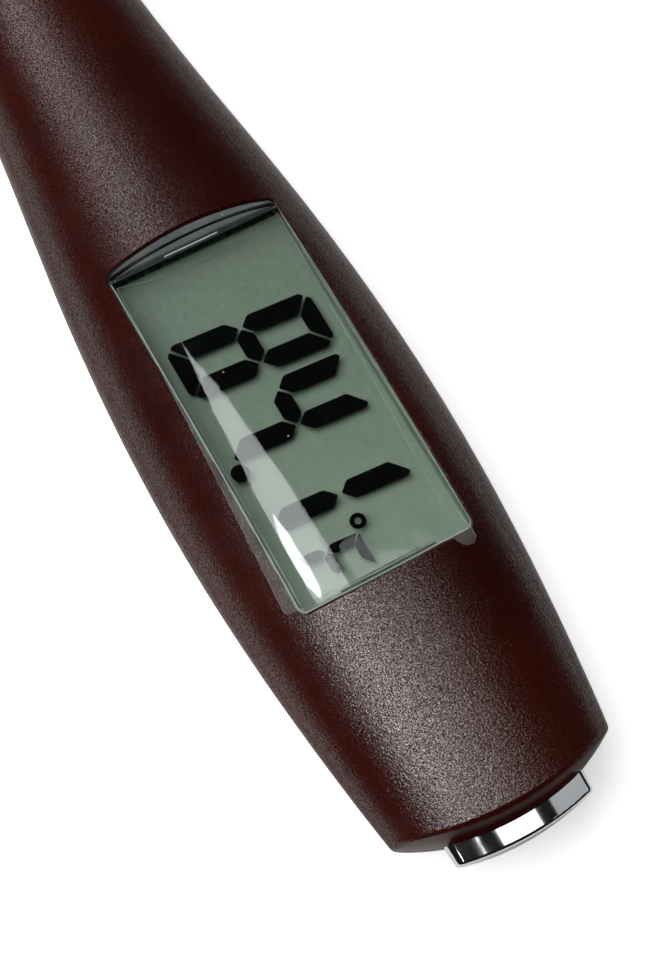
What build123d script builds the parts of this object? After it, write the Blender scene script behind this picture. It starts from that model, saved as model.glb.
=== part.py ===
from build123d import *
import os

os.makedirs("parts", exist_ok=True)

# Handheld digital probe thermometer. X runs along the tool from the probe tip to the button end, Y is the
# digits' up direction and Z points out of the display. The origin is on the flat the tool rests on, under the
# middle of the display window. Millimetres.

# ------------------------------------------------------------------ driving dimensions
# Handle: oval sections as (x, half width, half height) about the parting plane.
parting_z = 7.4
handle_sections = [
    (-88, 6.7, 6.1),
    (-72, 8.2, 6.2),
    (-56, 9.8, 6.5),
    (-40, 11.25, 7.4),
    (-24, 13.25, 8.6),
    (-8, 14.65, 9.05),
    (8, 14.95, 8.7),
    (24, 14.0, 7.55),
    (36, 12.6, 6.15),
    (48, 10.4, 4.2),
]
wall = 1.8
seam_gap = 0.12
tongue_height = 0.9
rest_floor = 1.6
neck_x = -88.0
neck_block_x = -80.0

# Domed button end: its foremost point, its plan radius and its side radius.
end_x = 44.9
end_plan_radius = 22.0
end_side_radius = 11.5
end_edge_radius = 0.7

# Display window, lens and the film on the lens, which was put on slightly askew.
window_x = (-19.3, 19.75)
window_half_width = 9.4
window_bulge = 0.45
window_corner_radius = 1.0
window_chamfer = 0.15
window_wall_z = 12.9
lens_gap = 0.12
lens_thickness = 1.2
lens_edge_radius = 0.3
lens_tab_half_width = 5.0
lens_tab_reach = 1.5
neck_tab_z = (12.3, 12.75)
neck_tab_half_width = 2.9
lens_skirt_x = -18.75
film_centre = (1.45, -0.9)
film_turn = -2.4
film_neck_x = (-18.5, -16.55, -19.2)
film_end_x = (17.9, 18.3)
film_half_width = 8.85
film_thickness = 0.1
film_gap = 0.02

# Display stack on the board.
board_bottom = 9.3
board_top = 10.1
board_half_widths = (6.5, 10.1, 7.0)
board_x = (-38.0, -22.6, 21.6, 36.8)
glass_x = (-21.2, 20.3)
glass_half_width = 9.5
glass_thickness = 0.7
rear_glass_x = -18.9
reflector_z = (10.3, 10.5)
rear_glass_z = 10.55
front_glass_z = 11.3
front_glass_top = front_glass_z + glass_thickness
frame_x = (-22.6, 21.6)
frame_top = 11.9

# Button, its slot and the switch behind it.
button_half_width = 7.55
button_half_height = 1.95
button_nose_x = 46.65
button_corner = (45.5, 8.0)
button_flange_x = (40.1, 41.3)
running_clearance = 0.06
switch_x = (31.5, 35.5)
switch_bottom = 5.7
button_travel = 0.5
plunger_radius = 1.2
plunger_x = (33.0, 37.0)

# Battery, its well in the back shell, and the bayonet cap.
cell_x = -10.0
cell_radius = 5.8
cell_z = (3.4, 8.5)
cell_top = 8.8
cap_radius = 8.0
cap_face_z = 0.25
cap_rim_z = 1.5
ledge_z = (1.9, 2.5)
lug_z = (2.55, 3.25)
chamber_top = 3.35
plug_radius = 6.8
lug_radius = 7.8
lug_angle = 32.0
lug_places = (0, 120, 240)
cap_turn = 45.0

# Screws that join the shells, as (x, top of the upper shell's boss).
screws = [(-52.0, 12.6), (26.0, 13.4)]
screw_radius = 1.0
screw_head_radius = 1.9
screw_seat_z = 3.2
screw_top = 11.2
boss_radius = 2.7
boss_split_z = 6.2

# Probe and its fittings, on the axis where the parting plane crosses the middle plane.
collar_x = -95.0
collar_radius = 7.4
spigot_radius = 4.6
ferrule_x = -108.0
probe_radius = 1.95
probe_root_radius = 1.75
probe_root_x = -108.1
probe_wall = 0.4
probe_inner_end_x = -78.0
probe_tip_x = (-200.0, -205.0)
bead_x = (-197.8, -195.4)


# ------------------------------------------------------------------ helpers
# Side view through the middle plane: sketch x is X and sketch y is Z.
side_view = Plane(origin=(0, 0, 0), x_dir=(1, 0, 0), z_dir=(0, -1, 0))
probe_view = Plane(origin=(0, 0, parting_z), x_dir=(1, 0, 0), z_dir=(0, -1, 0))
probe_axis = Axis((0, 0, parting_z), (1, 0, 0))


def across(x):
    """Plane square to the handle at x: sketch x is Y, sketch y is Z above the parting plane."""
    return Plane(origin=(x, 0, parting_z), x_dir=(0, 1, 0), z_dir=(1, 0, 0))


def slab(x_range, half_width, z_range):
    """Box between two X values and two heights, centred on the middle plane."""
    with BuildPart() as block:
        with BuildSketch(Plane.XY.offset(z_range[0])):
            with Locations(((x_range[0] + x_range[1]) / 2, 0)):
                Rectangle(x_range[1] - x_range[0], 2 * half_width)
        extrude(amount=z_range[1] - z_range[0])
    return block.part


def disc(x, radius, z_range):
    """Upright cylinder on the middle plane."""
    with BuildPart() as cylinder:
        with BuildSketch(Plane.XY.offset(z_range[0])):
            with Locations((x, 0)):
                Circle(radius)
        extrude(amount=z_range[1] - z_range[0])
    return cylinder.part


def pie(radius, middle, size, z_range):
    """Upright slice about the battery's axis, size degrees wide about the middle angle."""
    with BuildPart() as wedge:
        with BuildSketch(Plane(origin=(cell_x, 0, z_range[0]))):
            with BuildLine():
                rim = CenterArc((0, 0), radius, middle - size / 2, size)
                Polyline(rim @ 1, (0, 0), rim @ 0)
            make_face()
        extrude(amount=z_range[1] - z_range[0])
    return wedge.part


def turned(profile, bore=0.0):
    """Piece turned about the probe's axis from (x, radius) points, with an optional bore."""
    first_x = profile[0][0]
    last_x = profile[-1][0]
    with BuildPart() as piece:
        with BuildSketch(probe_view):
            with BuildLine():
                Polyline((first_x, bore), *profile, (last_x, bore), close=True)
            make_face()
        revolve(axis=probe_axis)
    return piece.part


def handle_form(inset, from_x=neck_x):
    """The handle's smooth outer form, moved inwards by inset and starting at from_x."""
    axis_x = end_x - end_side_radius
    nose_x = end_x - inset
    edge_y = 15.0
    edge_x = nose_x - end_plan_radius + (end_plan_radius**2 - edge_y**2) ** 0.5
    with BuildPart() as beyond_dome:
        add(slab((axis_x, axis_x + 30), 20, (parting_z - 20, parting_z + 20)))
        with BuildSketch(Plane.XY.offset(parting_z)):
            with BuildLine():
                ThreePointArc((edge_x, -edge_y), (nose_x, 0), (edge_x, edge_y))
                Polyline((edge_x, edge_y), (axis_x, edge_y), (axis_x, -edge_y), (edge_x, -edge_y))
            make_face()
        revolve(axis=Axis((axis_x, 0, parting_z), (0, 1, 0)), mode=Mode.SUBTRACT)
    with BuildPart() as form:
        for x, half_width, half_height in handle_sections:
            with BuildSketch(across(x)):
                Ellipse(half_width - inset, half_height - inset)
        loft()
        add(beyond_dome.part, mode=Mode.SUBTRACT)
        if from_x > neck_x:
            split(bisect_by=Plane.YZ.offset(from_x), keep=Keep.TOP)
    return form.part


def window_prism(gap, z_range):
    """Upright prism with the display window's outline, drawn smaller all round by gap."""
    left = window_x[0] + gap
    right = window_x[1] - gap
    half = window_half_width - gap
    with BuildPart() as prism:
        with BuildSketch(Plane.XY.offset(z_range[0])) as outline:
            with BuildLine():
                Line((left, half), (right, half))
                ThreePointArc((right, half), (right + window_bulge, 0), (right, -half))
                Line((right, -half), (left, -half))
                ThreePointArc((left, -half), (left - window_bulge, 0), (left, half))
            make_face()
            fillet(outline.vertices(), window_corner_radius - gap)
        extrude(amount=z_range[1] - z_range[0])
    return prism.part


def button_form(clearance, x_range, taper=0.0):
    """The button's lens-shaped section, grown by clearance, between two X values."""
    half = button_half_width + clearance
    top = button_half_height + clearance
    shoulder_y = 6.7
    shoulder_z = 0.95 + clearance
    with BuildPart() as form:
        with BuildSketch(across(x_range[0])):
            with BuildLine():
                ThreePointArc((-shoulder_y, shoulder_z), (0, top), (shoulder_y, shoulder_z))
                ThreePointArc((shoulder_y, shoulder_z), (half, 0), (shoulder_y, -shoulder_z))
                ThreePointArc((shoulder_y, -shoulder_z), (0, -top), (-shoulder_y, -shoulder_z))
                ThreePointArc((-shoulder_y, -shoulder_z), (-half, 0), (-shoulder_y, shoulder_z))
            make_face()
        extrude(amount=x_range[1] - x_range[0], taper=taper)
    return form.part


# ------------------------------------------------------------------ forms shared by the shells and the lens
shell_top = 17.0
handle_outer = handle_form(0)

with BuildPart() as outer_form:
    add(handle_outer)
    end_rim = outer_form.edges().filter_by(lambda e: e.bounding_box().min.X > switch_x[1])
    fillet(end_rim, end_edge_radius)
    split(bisect_by=Plane.XY, keep=Keep.TOP)

with BuildPart() as cavity_form:
    add(handle_form(wall, neck_block_x))
    split(bisect_by=Plane.XY.offset(wall), keep=Keep.TOP)

# The tongue of the lower shell runs round inside the seam, in a rebate of the upper shell.
tongue_gap = 0.05
tongue_top = parting_z + tongue_height
with BuildPart() as tongue_form:
    add(handle_form(wall / 2 + tongue_gap, neck_x + 2))
    split(bisect_by=Plane.XY.offset(tongue_top), keep=Keep.BOTTOM)
    split(bisect_by=Plane.XY.offset(parting_z - 1), keep=Keep.TOP)
with BuildPart() as rebate_form:
    add(handle_form(wall / 2 - tongue_gap, neck_x + 2 - tongue_gap))
    split(bisect_by=Plane.XY.offset(tongue_top + tongue_gap), keep=Keep.BOTTOM)

# The collar's spigot is held in the neck by a rib inside the bore.
bore_radius = spigot_radius + 0.05
rib_x = (-84.4, -83.2)
rib_radius = 3.95
with BuildPart() as neck_bore:
    with BuildSketch(across(neck_x)):
        Circle(bore_radius)
    extrude(amount=neck_block_x - neck_x)
    with BuildSketch(across(rib_x[0])):
        Circle(bore_radius)
        Circle(rib_radius, mode=Mode.SUBTRACT)
    extrude(amount=rib_x[1] - rib_x[0], mode=Mode.SUBTRACT)

button_slot = button_form(running_clearance, (button_flange_x[1] - 1.0, end_x + 1.0))

# Wall that closes the window at its neck end, behind the lens's skirt.
window_wall = 1.2
end_wall_x = (window_x[0] - 3, window_x[0] + 0.5)
with BuildPart() as window_end_wall:
    add(window_prism(-window_wall, (window_wall_z, shell_top)))
    add(window_prism(0, (window_wall_z, shell_top)), mode=Mode.SUBTRACT)
    add(slab(end_wall_x, glass_half_width, (window_wall_z, shell_top)), mode=Mode.INTERSECT)
    add(handle_form(wall / 2), mode=Mode.INTERSECT)

# ------------------------------------------------------------------ upper shell
pocket_gap = 0.2
board_clearance = 0.15
with BuildPart() as upper_shell:
    add(outer_form.part)
    split(bisect_by=Plane.XY.offset(parting_z + seam_gap / 2), keep=Keep.TOP)
    add(window_prism(0, (parting_z + 2, shell_top)), mode=Mode.SUBTRACT)
    window_rim = upper_shell.edges().filter_by(
        lambda e: e.bounding_box().min.Z > frame_top and e.bounding_box().max.X < window_x[1] + 1
    )
    chamfer(window_rim.filter_by(GeomType.BSPLINE), window_chamfer)
    add(cavity_form.part, mode=Mode.SUBTRACT)
    add(rebate_form.part, mode=Mode.SUBTRACT)
    pocket_x = (frame_x[0] - pocket_gap, frame_x[1] + pocket_gap)
    pocket_half_width = board_half_widths[1] + pocket_gap
    add(slab(pocket_x, pocket_half_width, (parting_z, frame_top + pocket_gap)), mode=Mode.SUBTRACT)
    add(window_end_wall.part)
    for x, boss_top in screws:
        add(disc(x, boss_radius, (boss_split_z + 0.05, boss_top)))
        add(disc(x, screw_radius + 0.01, (boss_split_z, screw_top + 0.2)), mode=Mode.SUBTRACT)
    add(neck_bore.part, mode=Mode.SUBTRACT)
    add(button_slot, mode=Mode.SUBTRACT)
upper_shell.part.label = "upper_shell"
export_step(upper_shell.part, "parts/upper_shell.step")

# ------------------------------------------------------------------ lower shell
well_radius = 7.2
well_top = 8.0
chamber_wall_radius = 9.1
chamber_roof = 4.2
support_ribs = (-30.0, 15.0)
rib_thickness = 1.2
rib_half_width = 6.0
chamber_floor = 0.6
entry_angle = lug_angle + 4
track_angle = lug_angle + cap_turn + 2
contact_slot_half_width = 1.7
contact_slot_z = 4.4
with BuildPart() as lower_shell:
    add(outer_form.part)
    split(bisect_by=Plane.XY.offset(parting_z - seam_gap / 2), keep=Keep.BOTTOM)
    add(tongue_form.part)
    add(cavity_form.part, mode=Mode.SUBTRACT)
    for x, boss_top in screws:
        add(disc(x, boss_radius, (rest_floor, boss_split_z)))
        add(disc(x, screw_radius + 0.15, (0, boss_split_z)), mode=Mode.SUBTRACT)
        add(disc(x, screw_head_radius + 0.2, (-1, screw_seat_z)), mode=Mode.SUBTRACT)
    for x in support_ribs:
        rib = slab((x - rib_thickness / 2, x + rib_thickness / 2), rib_half_width, (rest_floor, board_bottom))
        add(rib)
    # Battery well, with the bayonet chamber under it.
    add(disc(cell_x, chamber_wall_radius, (chamber_floor, chamber_roof)))
    add(disc(cell_x, well_radius, (chamber_roof, well_top)))
    add(disc(cell_x, cap_radius + 0.1, (-1, ledge_z[0])), mode=Mode.SUBTRACT)
    add(disc(cell_x, plug_radius + 0.1, (0, chamber_top)), mode=Mode.SUBTRACT)
    add(disc(cell_x, cell_radius + 0.2, (0, well_top)), mode=Mode.SUBTRACT)
    for place in lug_places:
        entry = pie(lug_radius + 0.1, place - cap_turn, entry_angle, (ledge_z[0] - 0.5, chamber_top))
        track = pie(lug_radius + 0.1, place - cap_turn / 2, track_angle, (ledge_z[1], chamber_top))
        add(entry, mode=Mode.SUBTRACT)
        add(track, mode=Mode.SUBTRACT)
    contact_slot_x = (cell_x + cell_radius - 1, cell_x + cell_radius + 0.35)
    add(slab(contact_slot_x, contact_slot_half_width, (contact_slot_z, well_top)), mode=Mode.SUBTRACT)
    add(neck_bore.part, mode=Mode.SUBTRACT)
    add(button_slot, mode=Mode.SUBTRACT)
lower_shell.part.label = "lower_shell"
export_step(lower_shell.part, "parts/lower_shell.step")

# ------------------------------------------------------------------ lens and film
# The lens is a curved sheet flush with the shell. It turns down into a skirt at its neck end, and a tab
# at each end holds it.
tab_start_x = window_x[1] - 0.45
web_thickness = 0.55
tab_depth = wall + 0.6
with BuildPart() as lens_web:
    add(slab((tab_start_x, tab_start_x + web_thickness), lens_tab_half_width, (parting_z, shell_top)))
    add(handle_form(lens_thickness - 0.2), mode=Mode.INTERSECT)
    add(handle_form(tab_depth), mode=Mode.SUBTRACT)
with BuildPart() as lens_tab:
    add(slab((tab_start_x, window_x[1] + lens_tab_reach), lens_tab_half_width, (parting_z, shell_top)))
    add(handle_form(wall + 0.1), mode=Mode.INTERSECT)
    add(handle_form(tab_depth), mode=Mode.SUBTRACT)

with BuildPart() as lens_skirt:
    add(window_prism(lens_gap, (neck_tab_z[0], shell_top)))
    add(handle_form(lens_thickness / 2), mode=Mode.INTERSECT)
    split(bisect_by=Plane.YZ.offset(lens_skirt_x), keep=Keep.BOTTOM)

with BuildPart() as display_lens:
    add(window_prism(lens_gap, (parting_z + 2, shell_top)))
    add(handle_outer, mode=Mode.INTERSECT)
    lens_rim = display_lens.edges().filter_by(lambda e: e.bounding_box().min.Z > frame_top)
    fillet(lens_rim.filter_by(GeomType.BSPLINE), lens_edge_radius)
    add(handle_form(lens_thickness), mode=Mode.SUBTRACT)
    add(lens_skirt.part)
    add(lens_web.part)
    add(lens_tab.part)
    add(slab((window_x[0] - lens_tab_reach, lens_skirt_x), neck_tab_half_width, neck_tab_z))
display_lens.part.label = "display_lens"
export_step(display_lens.part, "parts/display_lens.step")

film_plane = Plane(origin=(film_centre[0], film_centre[1], parting_z)).rotated((0, 0, film_turn))
film_corner_radius = 0.6
film_tab_y = (film_half_width - 0.55, film_half_width - 0.1, film_half_width + 0.8, film_half_width + 1.65)
film_tab_x = (film_end_x[1] - 2.6, film_end_x[1] - 0.6, film_end_x[1] + 0.65, film_end_x[1] + 1.1)
with BuildPart() as screen_film:
    with BuildSketch(film_plane):
        with BuildLine():
            # Straight side, rounded corner and far end.
            Line((film_neck_x[0], -film_half_width), (film_end_x[0] - film_corner_radius, -film_half_width))
            corner = RadiusArc(
                (film_end_x[0] - film_corner_radius, -film_half_width),
                (film_end_x[0], -film_half_width + film_corner_radius),
                -film_corner_radius,
            )
            Line(corner @ 1, (film_end_x[1], film_tab_y[0]))
            # Peeling tab at the other corner.
            Line((film_end_x[1], film_tab_y[0]), (film_tab_x[2], film_tab_y[1]))
            tab_end = ThreePointArc(
                (film_tab_x[2], film_tab_y[1]),
                (film_tab_x[3], film_tab_y[2]),
                (film_tab_x[2] - 0.15, film_tab_y[3]),
            )
            Polyline(tab_end @ 1, (film_tab_x[1], film_tab_y[3]), (film_tab_x[0], film_half_width))
            Line((film_tab_x[0], film_half_width), (film_neck_x[2], film_half_width))
            # Hollow neck end.
            ThreePointArc(
                (film_neck_x[2], film_half_width),
                (film_neck_x[1], 0),
                (film_neck_x[0], -film_half_width),
            )
        make_face()
    extrude(amount=shell_top - parting_z)
    add(handle_form(-film_gap - film_thickness), mode=Mode.INTERSECT)
    add(handle_form(-film_gap), mode=Mode.SUBTRACT)
screen_film.part.label = "screen_film"
export_step(screen_film.part, "parts/screen_film.step")

# ------------------------------------------------------------------ display stack
glass_fit = 0.15
with BuildPart() as lcd_frame:
    glass_pocket_x = (glass_x[0] - glass_fit, glass_x[1] + glass_fit)
    opening_x = (glass_x[0] + 0.2, glass_x[1] - 0.6)
    add(slab(frame_x, board_half_widths[1], (board_top, frame_top)))
    add(slab(glass_pocket_x, glass_half_width + glass_fit, (reflector_z[0], frame_top)), mode=Mode.SUBTRACT)
    add(slab(opening_x, glass_half_width - 0.5, (board_top, frame_top)), mode=Mode.SUBTRACT)
lcd_frame.part.label = "lcd_frame"
export_step(lcd_frame.part, "parts/lcd_frame.step")

glass_edge = 0.08
with BuildPart() as lcd_front_glass:
    add(slab(glass_x, glass_half_width, (front_glass_z, front_glass_top)))
    chamfer(lcd_front_glass.edges().filter_by(Axis.Z), glass_edge)
lcd_front_glass.part.label = "lcd_front_glass"
export_step(lcd_front_glass.part, "parts/lcd_front_glass.step")

with BuildPart() as lcd_rear_glass:
    add(slab((rear_glass_x, glass_x[1]), glass_half_width, (rear_glass_z, rear_glass_z + glass_thickness)))
    chamfer(lcd_rear_glass.edges().filter_by(Axis.Z), glass_edge)
lcd_rear_glass.part.label = "lcd_rear_glass"
export_step(lcd_rear_glass.part, "parts/lcd_rear_glass.step")

with BuildPart() as lcd_reflector:
    add(slab((rear_glass_x + 0.1, glass_x[1] - 0.1), glass_half_width - 0.1, reflector_z))
    fillet(lcd_reflector.edges().filter_by(Axis.Z), 0.3)
lcd_reflector.part.label = "lcd_reflector"
export_step(lcd_reflector.part, "parts/lcd_reflector.step")

# Black tape over the glass ledge where the rubber connector meets it.
with BuildPart() as lcd_mask:
    add(slab((glass_x[0], rear_glass_x + 0.2), glass_half_width, (front_glass_top, front_glass_top + 0.06)))
lcd_mask.part.label = "lcd_mask"
export_step(lcd_mask.part, "parts/lcd_mask.step")

connector_half_width = 8.2
with BuildPart() as elastomer_connector:
    connector_x = (glass_x[0] + 0.4, rear_glass_x - 0.6)
    add(slab(connector_x, connector_half_width, (board_top, front_glass_z)))
    fillet(elastomer_connector.edges().filter_by(Axis.Y), 0.15)
elastomer_connector.part.label = "elastomer_connector"
export_step(elastomer_connector.part, "parts/elastomer_connector.step")

# ------------------------------------------------------------------ circuit board
with BuildPart() as main_board:
    for x_start, x_end, half_width in zip(board_x[:-1], board_x[1:], board_half_widths):
        add(slab((x_start, x_end), half_width, (board_bottom, board_top)))
    add(disc(screws[1][0], boss_radius + board_clearance, (board_bottom, board_top)), mode=Mode.SUBTRACT)
    fillet(main_board.edges().filter_by(Axis.Z).group_by(Axis.X)[0], 1.5)
    fillet(main_board.edges().filter_by(Axis.Z).group_by(Axis.X)[-1], 1.0)
main_board.part.label = "main_board"
export_step(main_board.part, "parts/main_board.step")

chip_x = (5.0, 12.0)
chip_half_width = 3.5
chip_height = 1.1
with BuildPart() as controller_chip:
    add(slab(chip_x, chip_half_width, (board_bottom - chip_height, board_bottom - 0.15)))
    chamfer(controller_chip.edges().group_by(Axis.Z)[0], 0.2)
    leads_per_side = 8
    lead_pitch = 0.8
    with BuildSketch(Plane.XY.offset(board_bottom - 0.5)):
        with Locations(((chip_x[0] + chip_x[1]) / 2, 0)):
            with GridLocations(lead_pitch, 2 * chip_half_width + 0.8, leads_per_side, 2):
                Rectangle(0.35, 1.0)
    extrude(amount=0.5)
controller_chip.part.label = "controller_chip"
export_step(controller_chip.part, "parts/controller_chip.step")

resistor_size = (1.6, 0.8)
resistor_height = 0.5
crystal_radius = 1.0
crystal_length = 6.0
with BuildPart() as board_components:
    with BuildSketch(Plane.XY.offset(board_bottom - resistor_height)):
        with Locations((-26.0, 0)):
            with GridLocations(2.6, 2.2, 2, 4):
                Rectangle(*resistor_size)
        with Locations((18.5, 0)):
            with GridLocations(2.6, 2.2, 1, 5):
                Rectangle(*resistor_size)
    extrude(amount=resistor_height)
    # Timing crystal can.
    crystal_origin = (20.5, 7.5, board_bottom - crystal_radius - 0.05)
    with BuildSketch(Plane(origin=crystal_origin, x_dir=(0, 1, 0), z_dir=(-1, 0, 0))):
        Circle(crystal_radius)
    extrude(amount=crystal_length)
board_components.part.label = "board_components"
export_step(board_components.part, "parts/board_components.step")

# ------------------------------------------------------------------ switch and button
switch_half_width = 3.0
plunger_bore_x = plunger_x[0] - button_travel - 0.2
with BuildPart() as switch_body:
    add(slab(switch_x, switch_half_width, (switch_bottom, board_bottom)))
    fillet(switch_body.edges().filter_by(Axis.X), 0.3)
    with BuildSketch(across(plunger_bore_x)):
        Circle(plunger_radius + running_clearance)
    extrude(amount=switch_x[1] - plunger_bore_x, mode=Mode.SUBTRACT)
switch_body.part.label = "switch_body"
export_step(switch_body.part, "parts/switch_body.step")

with BuildPart() as switch_plunger:
    with BuildSketch(across(plunger_x[0])):
        Circle(plunger_radius)
    extrude(amount=plunger_x[1] - plunger_x[0])
    chamfer(switch_plunger.edges().group_by(Axis.X)[-1], 0.25)
switch_plunger.part.label = "switch_plunger"
export_step(switch_plunger.part, "parts/switch_plunger.step")

button_edge_radius = 0.35
button_taper = 4.0
taper_x = 43.0
stem_half_width = 2.0
stem_z = (parting_z - 1.5, parting_z + 1.5)
flange_overlap = 0.9
with BuildPart() as end_button:
    add(button_form(0, (taper_x, button_nose_x + 1), button_taper))
    with BuildSketch(Plane.XY.offset(parting_z - 3)):
        with BuildLine():
            ThreePointArc(button_corner, (button_nose_x, 0), (button_corner[0], -button_corner[1]))
            Polyline(
                (button_corner[0], -button_corner[1]),
                (taper_x, -button_corner[1]),
                (taper_x, button_corner[1]),
                button_corner,
            )
        make_face()
    extrude(amount=6, mode=Mode.INTERSECT)
    fillet(end_button.faces().sort_by(Axis.X)[-1].edges(), button_edge_radius)
    add(button_form(0, (button_flange_x[0], taper_x)))
    add(button_form(flange_overlap, button_flange_x))
    add(slab((plunger_x[1], button_flange_x[0]), stem_half_width, stem_z))
end_button.part.label = "end_button"
export_step(end_button.part, "parts/end_button.step")

# ------------------------------------------------------------------ battery
with BuildPart() as battery_cell:
    add(disc(cell_x, cell_radius, cell_z))
    fillet(battery_cell.edges().filter_by(GeomType.CIRCLE), 0.35)
    add(disc(cell_x, cell_radius - 1.1, (cell_z[1] - 0.1, cell_top)))
    fillet(battery_cell.edges().group_by(Axis.Z)[-1], 0.15)
battery_cell.part.label = "battery_cell"
export_step(battery_cell.part, "parts/battery_cell.step")

leaf_thickness = 0.18
leaf_half_width = 1.5
with BuildPart() as battery_contact_negative:
    with BuildSketch(side_view):
        with BuildLine():
            Polyline(
                (cell_x + 5, board_bottom),
                (cell_x + 5, board_bottom - leaf_thickness),
                (cell_x + 1.3, board_bottom - leaf_thickness),
                (cell_x - 2.6, cell_top + 0.02),
                (cell_x - 3.2, cell_top + 0.16),
                (cell_x - 3.1, cell_top + 0.34),
                (cell_x - 2.6, cell_top + 0.2),
                (cell_x + 1.3, board_bottom),
                close=True,
            )
        make_face()
    extrude(amount=leaf_half_width, both=True)
battery_contact_negative.part.label = "battery_contact_negative"
export_step(battery_contact_negative.part, "parts/battery_contact_negative.step")

strip_x = cell_x + cell_radius + 0.03
strip_foot_z = contact_slot_z + 0.2
with BuildPart() as battery_contact_positive:
    add(slab((strip_x, strip_x + leaf_thickness), leaf_half_width, (strip_foot_z, board_bottom)))
    add(slab((strip_x, strip_x + 2.6), leaf_half_width, (board_bottom - leaf_thickness, board_bottom)))
    add(slab((cell_x + 4.5, strip_x + 3), leaf_half_width, (board_bottom, board_top)), mode=Mode.SUBTRACT)
battery_contact_positive.part.label = "battery_contact_positive"
export_step(battery_contact_positive.part, "parts/battery_contact_positive.step")

coin_slot = (11.0, 1.5, 1.1)
with BuildPart() as battery_cap:
    add(disc(cell_x, cap_radius, (cap_face_z, cap_rim_z)))
    chamfer(battery_cap.edges().group_by(Axis.Z)[0], 0.25)
    add(disc(cell_x, plug_radius, (cap_rim_z, chamber_top)))
    for place in lug_places:
        add(pie(lug_radius, place, lug_angle, lug_z))
    with BuildSketch(Plane.XY.offset(cap_face_z)):
        with Locations((cell_x, 0)):
            SlotOverall(coin_slot[0], coin_slot[1], rotation=90)
    extrude(amount=coin_slot[2], mode=Mode.SUBTRACT)
battery_cap.part.label = "battery_cap"
export_step(battery_cap.part, "parts/battery_cap.step")

with BuildPart() as battery_cap_seal:
    with BuildSketch(Plane.XY.offset(cap_rim_z)):
        with Locations((cell_x, 0)):
            Circle(cap_radius - 0.05)
            Circle(plug_radius + 0.02, mode=Mode.SUBTRACT)
    extrude(amount=ledge_z[0] - cap_rim_z - 0.02)
battery_cap_seal.part.label = "battery_cap_seal"
export_step(battery_cap_seal.part, "parts/battery_cap_seal.step")

# ------------------------------------------------------------------ screws
head_height = 1.1
cross_size = (2.0, 0.45)
cross_depth = 0.7
with BuildPart() as shell_screws:
    for x, boss_top in screws:
        add(disc(x, screw_head_radius, (screw_seat_z - head_height, screw_seat_z)))
        add(disc(x, screw_radius, (screw_seat_z, screw_top)))
        with BuildSketch(Plane.XY.offset(screw_seat_z - head_height)):
            with Locations((x, 0)):
                Rectangle(cross_size[0], cross_size[1])
                Rectangle(cross_size[1], cross_size[0])
        extrude(amount=cross_depth, mode=Mode.SUBTRACT)
    chamfer(shell_screws.edges().group_by(Axis.Z)[-1], 0.4)
shell_screws.part.label = "shell_screws"
export_step(shell_screws.part, "parts/shell_screws.step")

# ------------------------------------------------------------------ probe and its fittings
probe_hole = probe_root_radius + 0.02
collar_rounding = 1.3
groove_x = (-87.0, -85.8)
groove_radius = 3.7
collar_profile = [
    (collar_x, collar_radius),
    (neck_x, collar_radius),
    (neck_x, spigot_radius),
    (groove_x[0], spigot_radius),
    (groove_x[0], groove_radius),
    (groove_x[1], groove_radius),
    (groove_x[1], spigot_radius),
    (rib_x[0] - 0.1, spigot_radius),
    (rib_x[0] - 0.1, rib_radius - 0.05),
    (rib_x[1] + 0.1, rib_radius - 0.05),
    (rib_x[1] + 0.1, spigot_radius),
    (neck_block_x, spigot_radius),
]
ferrule_seat = (4.0, 3.0)
with BuildPart() as probe_collar:
    add(turned(collar_profile, probe_hole))
    round_edges = probe_collar.edges().filter_by(GeomType.CIRCLE)
    outer_rims = round_edges.filter_by(lambda e: e.radius > spigot_radius + 1)
    fillet(outer_rims, collar_rounding)
    with BuildSketch(across(collar_x)):
        Circle(ferrule_seat[0] + 0.02)
    extrude(amount=ferrule_seat[1] + 0.05, mode=Mode.SUBTRACT)
probe_collar.part.label = "probe_collar"
export_step(probe_collar.part, "parts/probe_collar.step")

ring_section_radius = 0.45
ring_radius = groove_radius + ring_section_radius + 0.01
with BuildPart() as collar_o_ring:
    with BuildSketch(probe_view):
        with Locations(((groove_x[0] + groove_x[1]) / 2, ring_radius)):
            Circle(ring_section_radius)
    revolve(axis=probe_axis)
collar_o_ring.part.label = "collar_o_ring"
export_step(collar_o_ring.part, "parts/collar_o_ring.step")

ferrule_radii = (5.6, 2.7)
ferrule_waist = (-102.5, 3.4)
with BuildPart() as probe_ferrule:
    with BuildSketch(probe_view):
        with BuildLine():
            Line((ferrule_x, probe_hole), (ferrule_x, ferrule_radii[1]))
            ThreePointArc((ferrule_x, ferrule_radii[1]), ferrule_waist, (collar_x, ferrule_radii[0]))
            Polyline(
                (collar_x, ferrule_radii[0]),
                (collar_x, ferrule_seat[0]),
                (collar_x + ferrule_seat[1], ferrule_seat[0]),
                (collar_x + ferrule_seat[1], probe_hole),
                (ferrule_x, probe_hole),
            )
        make_face()
    revolve(axis=probe_axis)
    fillet(probe_ferrule.edges().filter_by(GeomType.CIRCLE).sort_by(Axis.X)[0:2], 0.2)
probe_ferrule.part.label = "probe_ferrule"
export_step(probe_ferrule.part, "parts/probe_ferrule.step")

# The tube's root is turned down a little where the ferrule and the collar grip it.
tube_profile = [
    (probe_tip_x[0], probe_radius),
    (probe_root_x, probe_radius),
    (probe_root_x, probe_root_radius),
    (probe_inner_end_x, probe_root_radius),
]
with BuildPart() as probe_tube:
    add(turned(tube_profile, probe_radius - probe_wall))
probe_tube.part.label = "probe_tube"
export_step(probe_tube.part, "parts/probe_tube.step")

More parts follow.
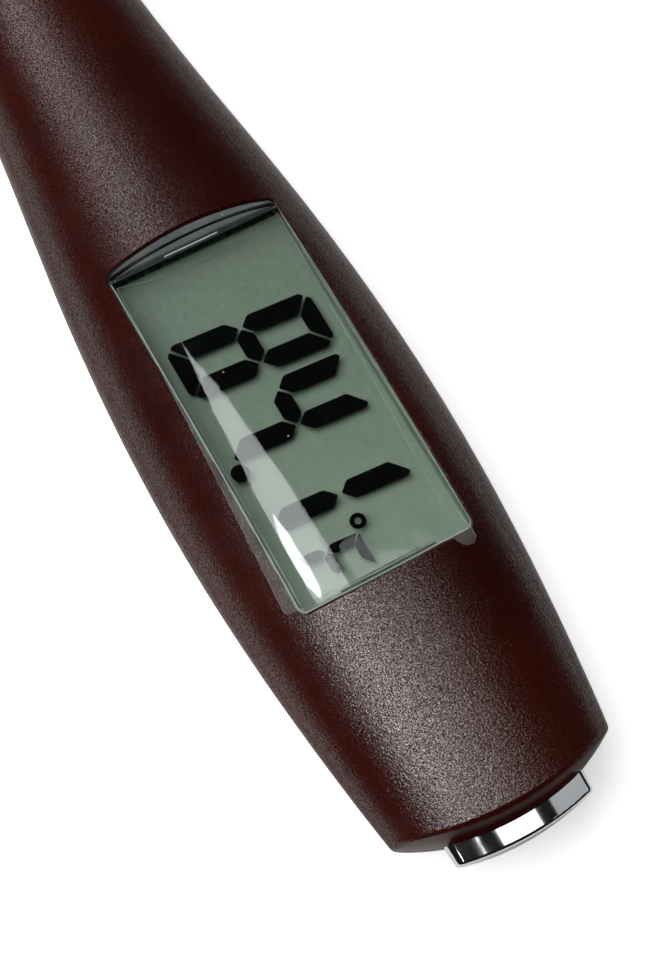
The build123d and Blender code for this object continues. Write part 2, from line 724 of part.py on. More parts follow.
tip_profile = [
    (probe_tip_x[1], 0.35),
    (probe_tip_x[1] + 0.3, 0.6),
    (probe_tip_x[0], probe_radius),
    (probe_tip_x[0], probe_radius - probe_wall - 0.03),
    (bead_x[0] - 0.3, probe_radius - probe_wall - 0.03),
]
with BuildPart() as probe_tip:
    add(turned(tip_profile))
probe_tip.part.label = "probe_tip"
export_step(probe_tip.part, "parts/probe_tip.step")

bead_radius = 0.9
with BuildPart() as thermistor_bead:
    with BuildSketch(across(bead_x[0])):
        Circle(bead_radius)
    extrude(amount=bead_x[1] - bead_x[0])
    fillet(thermistor_bead.edges().filter_by(GeomType.CIRCLE), 0.6)
thermistor_bead.part.label = "thermistor_bead"
export_step(thermistor_bead.part, "parts/thermistor_bead.step")

# Two insulated wires from the bead, out of the tube and past the screw boss to the board.
wire_radius = 0.28
wire_offset = 0.45
wire_bends = [
    (-66.0, 2.8, 7.5),
    (-52.0, 4.2, 8.0),
    (-42.0, 3.2, 8.5),
    (-35.0, 2.0, board_bottom - wire_radius),
]
with BuildPart() as thermistor_leads:
    for side in (-wire_offset, wire_offset):
        with BuildLine() as wire:
            straight = Line((bead_x[1], side, parting_z), (probe_inner_end_x + 1, side, parting_z))
            bends = [(x, y + side, z) for x, y, z in wire_bends]
            Spline(straight @ 1, *bends, tangents=[(1, 0, 0), (1, 0, 0)])
        with BuildSketch(Plane(origin=wire.line @ 0, z_dir=(1, 0, 0))):
            Circle(wire_radius)
        sweep(path=wire.line)
thermistor_leads.part.label = "thermistor_leads"
export_step(thermistor_leads.part, "parts/thermistor_leads.step")
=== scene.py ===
import math

import bmesh
import bpy
from mathutils import Matrix, Vector


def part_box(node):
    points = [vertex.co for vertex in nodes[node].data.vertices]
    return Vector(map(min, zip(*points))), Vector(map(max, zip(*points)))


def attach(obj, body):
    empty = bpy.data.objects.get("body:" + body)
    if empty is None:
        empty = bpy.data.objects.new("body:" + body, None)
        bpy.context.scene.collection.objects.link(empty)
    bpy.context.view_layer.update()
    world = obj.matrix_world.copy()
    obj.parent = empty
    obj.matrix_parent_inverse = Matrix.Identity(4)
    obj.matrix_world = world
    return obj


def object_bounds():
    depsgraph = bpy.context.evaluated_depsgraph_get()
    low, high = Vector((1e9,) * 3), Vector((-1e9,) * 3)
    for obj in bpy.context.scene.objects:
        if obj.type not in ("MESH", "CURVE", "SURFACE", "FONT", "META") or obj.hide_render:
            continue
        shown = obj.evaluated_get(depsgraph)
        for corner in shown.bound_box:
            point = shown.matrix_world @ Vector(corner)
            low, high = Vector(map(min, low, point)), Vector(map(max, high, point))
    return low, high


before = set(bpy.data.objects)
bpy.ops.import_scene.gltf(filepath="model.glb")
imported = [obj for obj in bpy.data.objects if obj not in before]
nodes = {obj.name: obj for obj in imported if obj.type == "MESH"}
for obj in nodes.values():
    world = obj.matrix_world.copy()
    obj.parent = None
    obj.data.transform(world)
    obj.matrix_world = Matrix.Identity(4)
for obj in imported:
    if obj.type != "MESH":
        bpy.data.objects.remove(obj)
cad_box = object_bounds()
scene = bpy.context.scene

MM = 0.001
lens_tab_reach = 1.4 * MM
window_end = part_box("display_lens")[1].x - lens_tab_reach
window_half_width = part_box("display_lens")[1].y
window_rim_z = 13.2 * MM
skirt_outer_x = -19.12 * MM
skirt_inner_x = -18.12 * MM
skirt_bottom_z = 12.3 * MM
bright_line_half_width = 2.9 * MM
bright_line_height = 0.16 * MM
foot_shade_height = 0.02 * MM
frame_side_shade_y = 9.3 * MM


# ------------------------------------------------------------------ material helper
class Surface:
    """One procedural material. Its texture coordinates are the frame's own metres."""

    def __init__(self, name):
        self.material = bpy.data.materials.new(name)
        self.material.use_nodes = True
        self.tree = self.material.node_tree
        self.tree.nodes.clear()
        self.output = self.tree.nodes.new("ShaderNodeOutputMaterial")
        self.position = self.tree.nodes.new("ShaderNodeTexCoord").outputs["Object"]

    def put(self, socket, value):
        if isinstance(value, bpy.types.NodeSocket):
            self.tree.links.new(value, socket)
        elif hasattr(socket.default_value, "__len__") and not hasattr(value, "__len__"):
            socket.default_value = [value] * len(socket.default_value)
        elif hasattr(value, "__len__") and len(value) == 3 and len(socket.default_value) == 4:
            socket.default_value = (*value, 1.0)
        else:
            socket.default_value = value

    def source(self, kind):
        """The outputs of a new node that needs no input."""
        return self.tree.nodes.new(kind).outputs

    def node(self, kind, inputs, output=0, **settings):
        made = self.tree.nodes.new(kind)
        for key, value in settings.items():
            setattr(made, key, value)
        for key, value in inputs.items():
            self.put(made.inputs[key], value)
        return made.outputs[output]

    def stretch(self, x, y, z):
        return self.node("ShaderNodeMapping", {"Vector": self.position, "Scale": (x, y, z)})

    def noise(self, scale, detail=3.0, vector=None, roughness=0.5):
        inputs = {
            "Vector": vector or self.position,
            "Scale": scale,
            "Detail": detail,
            "Roughness": roughness,
        }
        return self.node("ShaderNodeTexNoise", inputs)

    def cells(self, scale, vector=None):
        return self.node("ShaderNodeTexVoronoi", {"Vector": vector or self.position, "Scale": scale})

    def ramp(self, factor, *stops):
        made = self.tree.nodes.new("ShaderNodeValToRGB")
        while len(made.color_ramp.elements) < len(stops):
            made.color_ramp.elements.new(0.5)
        for element, (place, colour) in zip(made.color_ramp.elements, stops):
            element.position = place
            grey = not hasattr(colour, "__len__")
            element.color = (colour, colour, colour, 1.0) if grey else (*colour, 1.0)
        self.put(made.inputs[0], factor)
        return made.outputs[0]

    def blend(self, factor, a, b):
        made = self.tree.nodes.new("ShaderNodeMix")
        made.data_type = "RGBA"
        for index, value in ((0, factor), (6, a), (7, b)):
            self.put(made.inputs[index], value)
        return made.outputs[2]

    def calc(self, operation, *values):
        made = self.tree.nodes.new("ShaderNodeMath")
        made.operation = operation
        for socket, value in zip(made.inputs, values):
            self.put(socket, value)
        return made.outputs[0]

    def product(self, first, *others):
        for other in others:
            first = self.calc("MULTIPLY", first, other)
        return first

    def above(self, value, limit):
        return self.calc("GREATER_THAN", value, limit)

    def below(self, value, limit):
        return self.calc("LESS_THAN", value, limit)

    def size(self, value):
        return self.calc("ABSOLUTE", value)

    def part(self, vector, letter):
        made = self.tree.nodes.new("ShaderNodeSeparateXYZ")
        self.put(made.inputs[0], vector)
        return made.outputs[letter]

    def axis(self, letter):
        return self.part(self.position, letter)

    def bump(self, height, distance, strength=1.0):
        return self.node("ShaderNodeBump", {"Height": height, "Distance": distance, "Strength": strength})

    def principled(self, **inputs):
        named = {key.replace("_", " "): value for key, value in inputs.items()}
        return self.node("ShaderNodeBsdfPrincipled", named)

    def clear(self, tint=(1, 1, 1)):
        return self.node("ShaderNodeBsdfTransparent", {"Color": tint})

    def mirror(self, roughness, normal):
        inputs = {"Color": (1, 1, 1), "Roughness": roughness, "Normal": normal}
        return self.node("ShaderNodeBsdfGlossy", inputs)

    def chalk(self, colour):
        return self.node("ShaderNodeBsdfDiffuse", {"Color": colour})

    def glow(self, colour, strength):
        return self.node("ShaderNodeEmission", {"Color": colour, "Strength": strength})

    def over(self, share, under, top):
        """The shader top laid over the shader under, covering the given share of it."""
        return self.node("ShaderNodeMixShader", {0: share, 1: under, 2: top})

    def done(self, shader):
        self.tree.links.new(shader, self.output.inputs["Surface"])
        return self.material


# ------------------------------------------------------------------ materials
def moulded_burgundy(name):
    """Burgundy plastic with a fine leather-like moulded grain, its creases darkened as painted shade. The
    domed end face is smooth.
    """
    s = Surface(name)
    warp = s.node("ShaderNodeTexNoise", {"Vector": s.position, "Scale": 1500.0, "Detail": 2.0}, 1)
    shift = s.node("ShaderNodeVectorMath", {0: warp, 1: (0.0003,) * 3}, operation="MULTIPLY")
    warped = s.node("ShaderNodeVectorMath", {0: s.position, 1: shift}, operation="ADD")
    pebbles = s.cells(3600, warped)
    height = s.blend(0.62, pebbles, s.noise(5200, 3, roughness=0.7))

    colour = s.ramp(s.noise(55, 3), (0.30, (0.021, 0.0021, 0.0008)), (0.55, (0.030, 0.0030, 0.0011)),
                    (0.75, (0.040, 0.0048, 0.0016)))
    # Painted shade: the colour darkens in the grain's creases.
    crease_shade = s.ramp(pebbles, (0.0, 0.0), (0.9, 0.35))
    colour = s.blend(crease_shade, colour, (0.011, 0.0010, 0.0005))

    wear = s.ramp(s.noise(420, 6, s.stretch(0.25, 1, 1)), (0.68, 0.0), (0.74, 0.05))
    rough = s.calc("SUBTRACT", s.ramp(s.noise(160, 4), (0.3, 0.21), (0.7, 0.27)), wear)

    # The grain's facets glint one by one; the end face has a plain gloss instead. The button keeps
    # the table's reflection off the middle of that face.
    facing = s.source("ShaderNodeNewGeometry")["True Normal"]
    grained = s.ramp(s.part(facing, "X"), (0.30, 1.0), (0.55, 0.05))
    glints = s.ramp(s.noise(6600, 2, roughness=0.8), (0.36, 0.0), (0.50, 0.45), (0.65, 1.3))
    across_end = s.calc("MULTIPLY_ADD", s.axis("Y"), -500.0, -3.2)
    end_gloss = s.ramp(across_end, (0.0, 0.12), (1.0, 0.9))
    slant_view = s.source("ShaderNodeLayerWeight")["Facing"]
    shine = s.ramp(slant_view, (0.40, 1.0), (0.56, 0.30), (0.88, 0.18), (0.985, 1.0))
    gloss = s.product(s.blend(grained, end_gloss, glints), shine)
    normal = s.bump(height, 0.000046, grained)
    return s.done(s.principled(Base_Color=colour, Roughness=rough, IOR=1.5, Specular_IOR_Level=gloss,
                               Normal=normal))


def lens_marks(s, shader, geometry):
    """What is special to the window's lens: dust, a painted highlight on its rim, a painted glow on its skirt
    and painted black shade at its foot.
    """
    face_z = s.part(geometry["True Normal"], "Z")
    dust = s.ramp(s.cells(420), (0.030, 0.55), (0.045, 0.0))
    shader = s.over(dust, shader, s.chalk((0.7, 0.7, 0.68)))

    # A fine pale line on the rounded rim is a painted highlight, drawn with an emission.
    rounded_edge = s.ramp(s.part(geometry["Normal"], "Z"), (0.10, 0.0), (0.25, 1.0), (0.50, 1.0), (0.68, 0.0))
    outside = s.calc("SUBTRACT", 1.0, geometry["Backfacing"])
    rim_highlight = s.product(rounded_edge, outside, s.above(s.axis("X"), skirt_inner_x),
                    s.above(s.axis("Z"), window_rim_z))
    shader = s.over(rim_highlight, shader, s.glow((0.86, 0.96, 0.90), 0.40))

    # Painted light: a faint emission on the skirt's outer face and a brighter emission line along its lower
    # edge stand in for light carried inside the sheet.
    skirt = s.product(s.below(s.size(face_z), 0.5), s.below(s.axis("X"), skirt_outer_x))
    high = s.ramp(s.calc("MULTIPLY_ADD", s.axis("Z"), 500.0, -6.3), (0.05, 0.15), (0.35, 1.0))
    cloud = s.ramp(s.noise(350, 4, s.stretch(1, 1, 0.4)), (0.3, 0.5), (0.7, 0.8))
    shader = s.over(s.product(skirt, high, cloud), shader, s.glow((0.93, 0.98, 1.0), 0.17))
    low = s.below(s.axis("Z"), skirt_bottom_z + bright_line_height)
    middle = s.below(s.size(s.axis("Y")), bright_line_half_width)
    shader = s.over(s.product(skirt, low, middle), shader, s.glow((0.95, 0.97, 1.0), 0.42))

    # Painted shade: the skirt's downward faces near its foot are coloured black.
    foot_shade = s.product(s.below(face_z, -0.7), s.below(s.axis("Z"), skirt_bottom_z + foot_shade_height))
    return s.over(foot_shade, shader, s.chalk((0.003, 0.003, 0.003)))


def see_through(name, ior, tint, mirror, marks=None):
    """Solid clear plastic or glass. Shadows and soft light pass straight through it."""
    s = Surface(name)
    normal = s.bump(s.noise(40, 2), 0.00002, 0.25)
    smears = s.ramp(s.noise(90, 5, s.stretch(1, 0.4, 1)), (0.45, 0.0), (0.8, 0.05))
    bent_inputs = {"Color": tint, "Roughness": smears, "IOR": ior, "Normal": normal}
    bent = s.node("ShaderNodeBsdfRefraction", bent_inputs)
    fresnel = s.node("ShaderNodeFresnel", {"IOR": ior, "Normal": normal})
    share = s.calc("MAXIMUM", s.above(fresnel, 0.99), s.product(fresnel, mirror))
    glass = s.over(share, bent, s.mirror(smears, normal))
    path = s.source("ShaderNodeLightPath")
    soft = s.calc("MAXIMUM", path["Is Shadow Ray"], path["Is Diffuse Ray"])
    shader = s.over(soft, glass, s.clear(tint))
    if marks:
        shader = marks(s, shader, s.source("ShaderNodeNewGeometry"))
    return s.done(shader)


def film_marks(s, shader, geometry):
    """The film's cut edge carries a pale painted highlight, and it looks hazy where it lies on nothing."""
    past_side = s.above(s.size(s.axis("Y")), window_half_width)
    past_end = s.above(s.axis("X"), window_end)
    haze = s.ramp(s.noise(300, 5), (0.3, 0.03), (0.7, 0.065))
    veil = s.product(s.calc("MAXIMUM", past_side, past_end), haze)
    cut_edge_highlight = s.ramp(s.size(s.part(geometry["True Normal"], "Z")), (0.55, 0.6), (0.66, 0.0))
    return s.over(s.calc("MAXIMUM", veil, cut_edge_highlight), shader, s.chalk((0.72, 0.78, 0.74)))


def thin_clear(name, mirror, marks=None):
    """Thin clear sheet that doesn't bend light."""
    s = Surface(name)
    normal = s.bump(s.noise(60, 3), 0.00002, 0.3)
    fresnel = s.node("ShaderNodeFresnel", {"IOR": 1.48, "Normal": normal})
    geometry = s.source("ShaderNodeNewGeometry")
    front = s.calc("SUBTRACT", 1.0, geometry["Backfacing"])
    shader = s.over(s.product(fresnel, front, mirror), s.clear(), s.mirror(0.04, normal))
    if marks:
        shader = marks(s, shader, geometry)
    return s.done(shader)


def chrome(name):
    s = Surface(name)
    ripple = s.bump(s.noise(260, 2), 0.000012, 0.35)
    scratches = s.noise(700, 8, s.stretch(0.12, 1, 1.6))
    rough = s.ramp(scratches, (0.35, 0.035), (0.75, 0.11))
    colour = s.ramp(s.noise(120, 3), (0.3, (0.74, 0.75, 0.77)), (0.7, (0.84, 0.84, 0.84)))
    return s.done(s.principled(Base_Color=colour, Metallic=1.0, Roughness=rough, Normal=ripple))


def turned_steel(name, base, low, high, lines=(9000, 300, 300)):
    """Steel with fine turning or brushing marks; lines is how closely they are packed along X, Y and Z."""
    s = Surface(name)
    marks = s.noise(1.0, 3, s.stretch(*lines))
    rough = s.ramp(marks, (0.3, low), (0.7, high))
    stain = s.ramp(s.noise(70, 4), (0.35, tuple(0.86 * c for c in base)), (0.65, base))
    normal = s.bump(marks, 0.000004, 0.5)
    return s.done(s.principled(Base_Color=stain, Metallic=1.0, Roughness=rough, Normal=normal))


def moulded(name, dark, light, low, high, grain=1800, side_shade=None):
    """Plain moulded plastic, rubber or resin with a fine grain and uneven gloss.

    A side shade replaces the colour at both long sides: its distance from the middle and two colours. It is
    painted shade, a darker copy of a lit colour.
    """
    s = Surface(name)
    colour = s.ramp(s.noise(140, 4), (0.35, dark), (0.65, light))
    if side_shade:
        side, side_shade_dark, side_shade_light = side_shade
        side_shade_colour = s.ramp(s.noise(230, 3), (0.35, side_shade_dark), (0.65, side_shade_light))
        colour = s.blend(s.above(s.size(s.axis("Y")), side), colour, side_shade_colour)
    rough = s.ramp(s.noise(500, 3), (0.3, low), (0.7, high))
    normal = s.bump(s.noise(grain, 4), 0.00002, 0.5)
    return s.done(s.principled(Base_Color=colour, Roughness=rough, Normal=normal))


def solder_mask(name):
    """Green circuit board with copper tracks showing through its lacquer."""
    s = Surface(name)
    black = (0, 0, 0)
    brick_inputs = {"Vector": s.position, "Scale": 260.0, "Mortar Size": 0.06, "Color1": black,
                    "Color2": black, "Mortar": (1, 1, 1)}
    tracks = s.node("ShaderNodeTexBrick", brick_inputs)
    lines = s.product(tracks, s.ramp(s.noise(110, 2), (0.46, 0.0), (0.5, 1.0)))
    colour = s.blend(lines, (0.008, 0.075, 0.028), (0.03, 0.17, 0.05))
    rough = s.ramp(s.noise(900, 3), (0.3, 0.22), (0.7, 0.36))
    normal = s.bump(lines, 0.00003, 0.6)
    return s.done(s.principled(Base_Color=colour, Roughness=rough, Normal=normal))


def display_back(name):
    """Grey-green reflector behind the liquid crystal, painted a little darker towards the neck as painted
    shade.
    """
    s = Surface(name)
    # Painted shade: the colour darkens towards the neck end.
    along = s.calc("MULTIPLY_ADD", s.axis("X"), 24.0, 0.5)
    mottle = s.noise(1500, 3)
    colour = s.ramp(along, (0.0, (0.142, 0.185, 0.147)), (0.5, (0.168, 0.222, 0.176)),
                    (1.0, (0.225, 0.282, 0.228)))
    clouds = s.ramp(s.noise(230, 3), (0.35, 0.22), (0.65, 0.0))
    colour = s.blend(clouds, colour, (0.105, 0.14, 0.13))
    colour = s.blend(s.ramp(mottle, (0.3, 0.0), (0.7, 0.2)), colour, (0.30, 0.36, 0.30))
    normal = s.bump(mottle, 0.00001, 0.5)
    return s.done(s.principled(Base_Color=colour, Roughness=0.55, Normal=normal))


def crystal_ink(name):
    """Switched-on liquid crystal: near black, faintly blue, with a soft mottle."""
    s = Surface(name)
    colour = s.ramp(s.noise(800, 4), (0.3, (0.0006, 0.0010, 0.0009)), (0.75, (0.0022, 0.0032, 0.0034)))
    rough = s.ramp(s.noise(1200, 2), (0.3, 0.5), (0.7, 0.7))
    return s.done(s.principled(Base_Color=colour, Roughness=rough, Specular_IOR_Level=0.0))


burgundy = moulded_burgundy("burgundy_grain")
chrome_plate = chrome("chrome_plate")
plain_black = (0.006, 0.006, 0.0065), (0.013, 0.013, 0.014), 0.42, 0.6
# Painted shade: the display frame's long sides take a darker copy of the reflector's grey-green, as the
# display looks in shade.
frame_side_shade = (frame_side_shade_y, (0.13, 0.17, 0.14), (0.16, 0.21, 0.17))
steel = turned_steel("probe_steel", (0.56, 0.555, 0.54), 0.16, 0.34)
nickel = turned_steel("nickel_strip", (0.62, 0.58, 0.5), 0.2, 0.36, (300, 6000, 300))

finishes = {
    "upper_shell": burgundy,
    "lower_shell": burgundy,
    "battery_cap": burgundy,
    "display_lens": see_through("clear_lens", 1.49, (0.985, 0.992, 0.988), 0.9, lens_marks),
    "screen_film": thin_clear("clear_film", 0.5, film_marks),
    "lcd_front_glass": see_through("display_glass", 1.5, (0.975, 0.99, 0.978), 0.1),
    "lcd_rear_glass": thin_clear("rear_glass", 0.05),
    "lcd_reflector": display_back("display_back"),
    "lcd_frame": moulded("lcd_frame_plastic", *plain_black, side_shade=frame_side_shade),
    "lcd_mask": moulded("black_tape", (0.003, 0.003, 0.0035), (0.007, 0.007, 0.008), 0.5, 0.75, 2600),
    "elastomer_connector": moulded("connector_rubber", (0.26, 0.10, 0.09), (0.38, 0.17, 0.14), 0.5, 0.7),
    "main_board": solder_mask("solder_mask"),
    "controller_chip": moulded("chip_resin", (0.012, 0.012, 0.014), (0.03, 0.03, 0.033), 0.35, 0.5, 3200),
    "board_components": moulded("component_ceramic", (0.02, 0.018, 0.016), (0.16, 0.13, 0.10), 0.25, 0.4),
    "switch_body": moulded("black_plastic", *plain_black),
    "switch_plunger": moulded("switch_stem", (0.55, 0.52, 0.44), (0.68, 0.65, 0.56), 0.3, 0.45),
    "end_button": chrome_plate,
    "probe_collar": chrome_plate,
    "battery_cell": turned_steel("cell_can", (0.66, 0.65, 0.62), 0.22, 0.4, (700, 700, 5000)),
    "battery_contact_negative": nickel,
    "battery_contact_positive": nickel,
    "battery_cap_seal": moulded("seal_rubber", (0.008, 0.008, 0.009), (0.02, 0.02, 0.021), 0.55, 0.75, 1500),
    "collar_o_ring": moulded("ring_rubber", (0.008, 0.008, 0.009), (0.018, 0.018, 0.019), 0.5, 0.7, 1500),
    "shell_screws": turned_steel("screw_zinc", (0.55, 0.56, 0.57), 0.25, 0.45, (900, 900, 6000)),
    "probe_ferrule": steel,
    "probe_tube": steel,
    "probe_tip": steel,
    "thermistor_bead": moulded("bead_epoxy", (0.012, 0.009, 0.007), (0.035, 0.028, 0.02), 0.12, 0.25),
    "thermistor_leads": moulded("wire_insulation", (0.30, 0.016, 0.012), (0.44, 0.03, 0.02), 0.35, 0.5),
}
for name, material in finishes.items():
    nodes[name].data.materials.clear()
    nodes[name].data.materials.append(material)


def add_mesh(name, mesh, material):
    """A new object from a finished bmesh."""
    data = bpy.data.meshes.new(name)
    mesh.normal_update()
    mesh.to_mesh(data)
    mesh.free()
    data.materials.append(material)
    made = bpy.data.objects.new(name, data)
    scene.collection.objects.link(made)
    return made


# ------------------------------------------------------------------ the display's characters
# Seven-segment characters lie in the thin gap between the two display glasses. Their outlines are
# in millimetres, counterclockwise, about the character's centre.
ink_clearance = 0.012 * MM
ink_z = (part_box("lcd_rear_glass")[1].z + ink_clearance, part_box("lcd_front_glass")[0].z - ink_clearance)
ink = crystal_ink("crystal_ink")
display_shift = Vector((-0.25, 0.08))
slant = 0.06
corner_radius = 0.22


def corners(points):
    """Each point of a closed outline with the one before it and the one after it."""
    count = len(points)
    return [[Vector(points[(i + k) % count]) for k in (-1, 0, 1)] for i in range(count)]


def inset(points, amount):
    """A convex outline with every side moved inwards."""
    moved = []
    for before, here, after in corners(points):
        u = (here - before).normalized()
        w = (after - here).normalized()
        nu = Vector((-u.y, u.x))
        nw = Vector((-w.y, w.x))
        moved.append(here + (nu + nw) * (amount / (1 + nu.dot(nw))))
    return moved


def rounded(points, radius, steps=4):
    """The outline with its corners rounded."""
    out = []
    for before, here, after in corners(points):
        u = before - here
        w = after - here
        reach = min(radius, u.length * 0.4, w.length * 0.4)
        p = here + u.normalized() * reach
        q = here + w.normalized() * reach
        for k in range(steps + 1):
            t = k / steps
            out.append(p * (1 - t) ** 2 + here * (2 * t * (1 - t)) + q * t**2)
    return out


def mirrored(points, sx, sy):
    """The outline scaled by 1 or -1 along each axis, still counterclockwise."""
    turned = [(sx * x, sy * y) for x, y in points]
    return turned if sx * sy > 0 else turned[::-1]


def segment_shapes(width, height, stroke, bar, cut):
    """Outlines of the seven segments, by their usual letters."""
    w = width / 2
    h = height / 2
    half = stroke / 2
    top = [(w - cut, h), (-w + cut, h), (-w + cut / 2, h - cut / 2), (-w + stroke, h - bar),
           (w - stroke, h - bar), (w - cut / 2, h - cut / 2)]
    right = [(w, h - cut), (w - cut / 2, h - cut / 2), (w - stroke, h - bar), (w - stroke, half),
             (w - half, 0), (w, half)]
    inner = w - half - bar / 2
    middle = [(w - half, 0), (inner, bar / 2), (-inner, bar / 2), (-w + half, 0),
              (-inner, -bar / 2), (inner, -bar / 2)]
    return {
        "a": top,
        "b": right,
        "c": mirrored(right, 1, -1),
        "d": mirrored(top, 1, -1),
        "e": mirrored(right, -1, -1),
        "f": mirrored(right, -1, 1),
        "g": middle,
    }


def ink_piece(name, outlines, centre):
    """A flat piece of switched-on crystal."""
    mesh = bmesh.new()
    for outline in outlines:
        points = [Vector((centre[0] + x + slant * y, centre[1] + y)) + display_shift for x, y in outline]
        low, high = [[mesh.verts.new((p.x * MM, p.y * MM, z)) for p in points] for z in ink_z]
        mesh.faces.new(low[::-1])
        mesh.faces.new(high)
        for i in range(len(points)):
            j = (i + 1) % len(points)
            mesh.faces.new((low[i], low[j], high[j], high[i]))
    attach(add_mesh(name, mesh, ink), "handle")


def character(name, lit, centre, width=6.55, height=15.45, stroke=2.3, bar=2.1, cut=1.0, gap=0.13):
    shapes = segment_shapes(width, height, stroke, bar, cut)
    ink_piece(name, [rounded(inset(shapes[key], gap), corner_radius) for key in lit], centre)


def circle(radius, sides):
    angles = [2 * math.pi * i / sides for i in range(sides)]
    return [Vector((radius * math.cos(a), radius * math.sin(a))) for a in angles]


def degree_mark(name, inner, outer, centre, sides=48):
    mesh = bmesh.new()
    middle = Vector(centre) + display_shift
    loops = []
    for z in ink_z:
        for radius in (inner, outer):
            points = [middle + p for p in circle(radius, sides)]
            loops.append([mesh.verts.new((p.x * MM, p.y * MM, z)) for p in points])
    low_in, low_out, high_in, high_out = loops
    for i in range(sides):
        j = (i + 1) % sides
        mesh.faces.new((high_in[i], high_out[i], high_out[j], high_in[j]))
        mesh.faces.new((low_in[j], low_out[j], low_out[i], low_in[i]))
        mesh.faces.new((low_out[i], low_out[j], high_out[j], high_out[i]))
        mesh.faces.new((low_in[j], low_in[i], high_in[i], high_in[j]))
    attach(add_mesh(name, mesh, ink), "handle")


character("display_tens", "abcdefg", (-6.72, 0.05))
character("display_units", "bcfg", (0.62, 0.05))
character("display_tenths", "bc", (8.62, 0.05))
ink_piece("display_point", [circle(0.92, 40)], (4.5, -7.1))
degree_mark("display_degree", 0.33, 0.80, (13.9, 0.2))
character("display_scale_letter", "aefg", (16.45, -3.85), 3.8, 7.2, 1.2, 1.1, 0.3, 0.08)


# ------------------------------------------------------------------ floor
def flat_sheet(name, points, material):
    mesh = bmesh.new()
    mesh.faces.new([mesh.verts.new(p) for p in points])
    sheet = add_mesh(name, mesh, material)
    return sheet


def pale_floor(name):
    """Near-white table that glows a little, except where a shiny piece reflects it."""
    s = Surface(name)
    tone = s.ramp(s.noise(6, 3), (0.3, 0.86), (0.7, 0.88))
    reflected = s.source("ShaderNodeLightPath")["Is Glossy Ray"]
    strength = s.calc("MULTIPLY_ADD", reflected, -0.6, 0.6)
    return s.done(s.principled(Base_Color=tone, Roughness=0.9, Specular_IOR_Level=0.1,
                               Emission_Color=(1, 1, 1), Emission_Strength=strength))


floor_size = 4.0
floor_corners = ((-1, -1), (1, -1), (1, 1), (-1, 1))
flat_sheet("floor", [(x * floor_size, y * floor_size, cad_box[0].z) for x, y in floor_corners],
           pale_floor("pale_floor"))


# ------------------------------------------------------------------ lights
def group(name, pieces):
    """A set of pieces that a light is limited to."""
    made = bpy.data.collections.new(name)
    for piece in pieces:
        made.objects.link(nodes[piece])
    return made


# The panels show in the clear and the plated pieces; the grained plastic has soft lights of its own.
grained_names = ("upper_shell", "lower_shell", "battery_cap")
clear_names = ("display_lens", "screen_film", "lcd_front_glass", "lcd_rear_glass")
grained_group = group("grained_pieces", grained_names)
clear_group = group("clear_pieces", clear_names)
plated_group = group("plated_pieces", [n for n in nodes.keys() if n not in grained_names + clear_names])
shiny_group = group("shiny_pieces", [n for n in nodes.keys() if n not in grained_names])


def lamp_panel(name, radiance, outline, seen_by=shiny_group, height=1.0):
    """A glowing panel overhead, seen only in reflections. Outline points are x/z and y/z directions."""
    s = Surface(name)
    material = s.done(s.glow((0.95, 0.985, 1.0), radiance))
    panel = flat_sheet(name, [(dx * height, dy * height, height) for dx, dy in outline], material)
    panel.visible_camera = False
    panel.visible_diffuse = False
    panel.visible_shadow = False
    panel.light_linking.receiver_collection = seen_by


# The window's reflection makes the wedge on the lens; its brightest part hangs just below it.
lamp_panel("window_light", 3.4, [
    (-0.475, -0.40), (-0.425, -0.415), (-0.37, -0.445), (-0.29, -0.455), (-0.235, -0.485), (-0.15, -0.50),
    (0.02, -0.48), (0.02, -0.11), (-0.105, -0.115), (-0.203, -0.142), (-0.31, -0.22), (-0.37, -0.265),
    (-0.405, -0.325)])
lamp_panel("window_core", 14.0, [
    (-0.199, -0.415), (-0.171, -0.385), (-0.112, -0.362), (-0.082, -0.360), (-0.068, -0.410),
    (-0.099, -0.490), (-0.137, -0.492), (-0.176, -0.480)], height=0.99)
lamp_panel("small_pane_a", 9.0, [(0.06, -0.17), (0.09, -0.20), (0.06, -0.25)])
lamp_panel("small_pane_b", 9.0, [(0.14, -0.17), (0.14, -0.25), (0.11, -0.20)])
# The rest of the room shows in the chrome, and a patch of its ceiling at the lens's button end.
lamp_panel("ceiling", 2.3, [
    (-0.125, -0.045), (0.0, -0.03), (0.3, -0.02), (0.3, 0.38), (-0.08, 0.36), (-0.125, 0.15)], plated_group)
lamp_panel("ceiling_patch", 1.5, [
    (-0.103, -0.035), (-0.02, -0.045), (-0.02, 0.55), (-0.065, 0.50), (-0.075, 0.19), (-0.108, 0.125)],
    clear_group)
lamp_panel("far_wall", 0.45, [(-0.10, 0.56), (0.5, 0.56), (0.5, 1.2), (-0.10, 1.2)])
lamp_panel("doorway", 2.0, [(-1.15, -0.75), (-0.78, -0.50), (-0.78, 0.0), (-1.15, 0.15)])


def area_light(name, place, shape, size, energy, colour):
    """An area light that faces the origin, about which the handle lies."""
    data = bpy.data.lights.new(name, "AREA")
    data.shape = shape
    data.size, data.size_y = size
    data.energy = energy
    data.color = colour
    lamp = bpy.data.objects.new(name, data)
    lamp.location = place
    lamp.rotation_euler = lamp.location.to_track_quat("Z", "Y").to_euler()
    lamp.visible_transmission = False
    scene.collection.objects.link(lamp)
    return lamp


def sheen_lamp(name, place, size, radiance, colour=(1.0, 0.97, 0.985)):
    """An area light that only puts the soft sheen on the grained plastic."""
    energy = radiance * math.pi * math.pi * size[0] * size[1] / 4
    lamp = area_light(name, place, "ELLIPSE", size, energy, colour)
    lamp.visible_diffuse = False
    lamp.light_linking.receiver_collection = grained_group


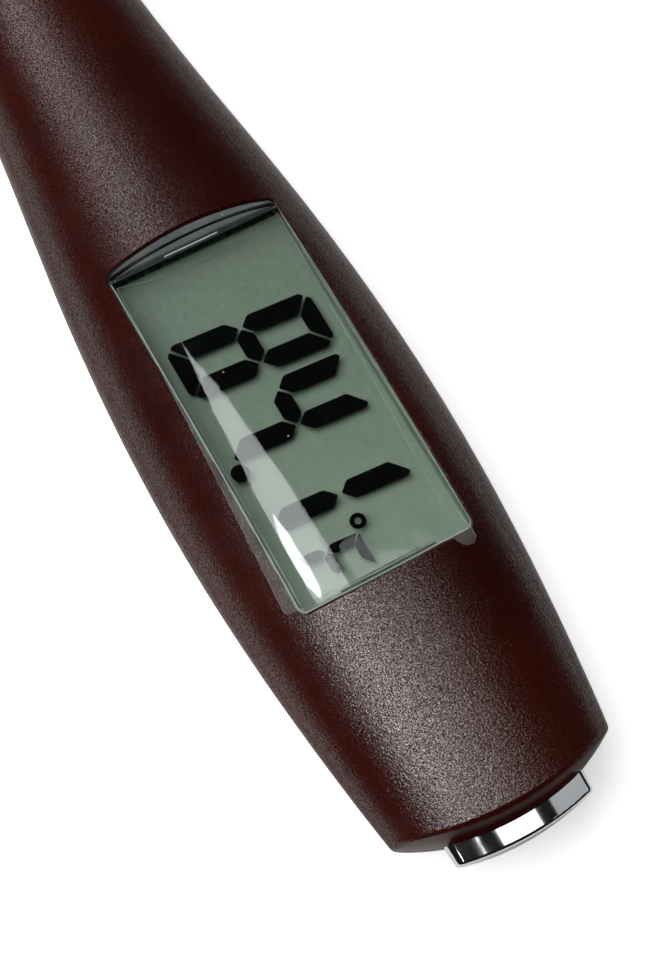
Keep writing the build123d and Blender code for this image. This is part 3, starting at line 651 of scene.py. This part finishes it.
sheen_lamp("sheen_window", (0.06, -0.29, 1.0), (0.62, 0.50), 7.0)
sheen_lamp("sheen_core", (-0.04, -0.44, 1.0), (0.30, 0.22), 10.0, (0.98, 0.96, 1.0))
sheen_lamp("sheen_side", (0.08, 0.10, 1.0), (0.50, 0.40), 5.4, (1.0, 0.95, 0.90))
sheen_lamp("sheen_neck", (-0.85, -0.22, 1.0), (0.60, 0.56), 4.0)
soft = area_light("soft_overhead", (-0.28, -0.50, 0.95), "RECTANGLE", (1.1, 1.1), 17.0, (1.0, 0.99, 0.975))
soft.visible_glossy = False

# The room is nearly dark apart from the lamps; the camera sees a pale backdrop in its place.
world = bpy.data.worlds.new("room")
world.use_nodes = True
tree = world.node_tree
tree.nodes.clear()
dim = tree.nodes.new("ShaderNodeBackground")
dim.inputs["Color"].default_value = (1, 1, 1, 1)
dim.inputs["Strength"].default_value = 0.012
pale = tree.nodes.new("ShaderNodeBackground")
pale.inputs["Color"].default_value = (0.93, 0.93, 0.93, 1)
path = tree.nodes.new("ShaderNodeLightPath")
choose = tree.nodes.new("ShaderNodeMixShader")
out = tree.nodes.new("ShaderNodeOutputWorld")
tree.links.new(path.outputs["Is Camera Ray"], choose.inputs[0])
tree.links.new(dim.outputs[0], choose.inputs[1])
tree.links.new(pale.outputs[0], choose.inputs[2])
tree.links.new(choose.outputs[0], out.inputs["Surface"])
scene.world = world

# ------------------------------------------------------------------ camera
camera_data = bpy.data.cameras.new("camera")
camera_data.lens = 71.18
camera_data.sensor_width = 36.0
camera_data.clip_start = 0.005
camera = bpy.data.objects.new("camera", camera_data)
camera_place = Vector((60.28, -42.14, 179.09)) * MM
camera_right = Vector((0.49303, 0.86758, 0.06519))
camera_up = Vector((-0.82144, 0.43950, 0.36344))
camera_back = Vector((0.28666, -0.23273, 0.92934))
turn = Matrix((camera_right, camera_up, camera_back)).transposed().to_4x4()
camera.matrix_world = Matrix.Translation(camera_place) @ turn
scene.collection.objects.link(camera)
scene.camera = camera

scene.cycles.transparent_max_bounces = 32
scene.cycles.max_bounces = 16
scene.cycles.transmission_bounces = 16
scene.view_settings.view_transform = "Standard"
scene.view_settings.look = "None"
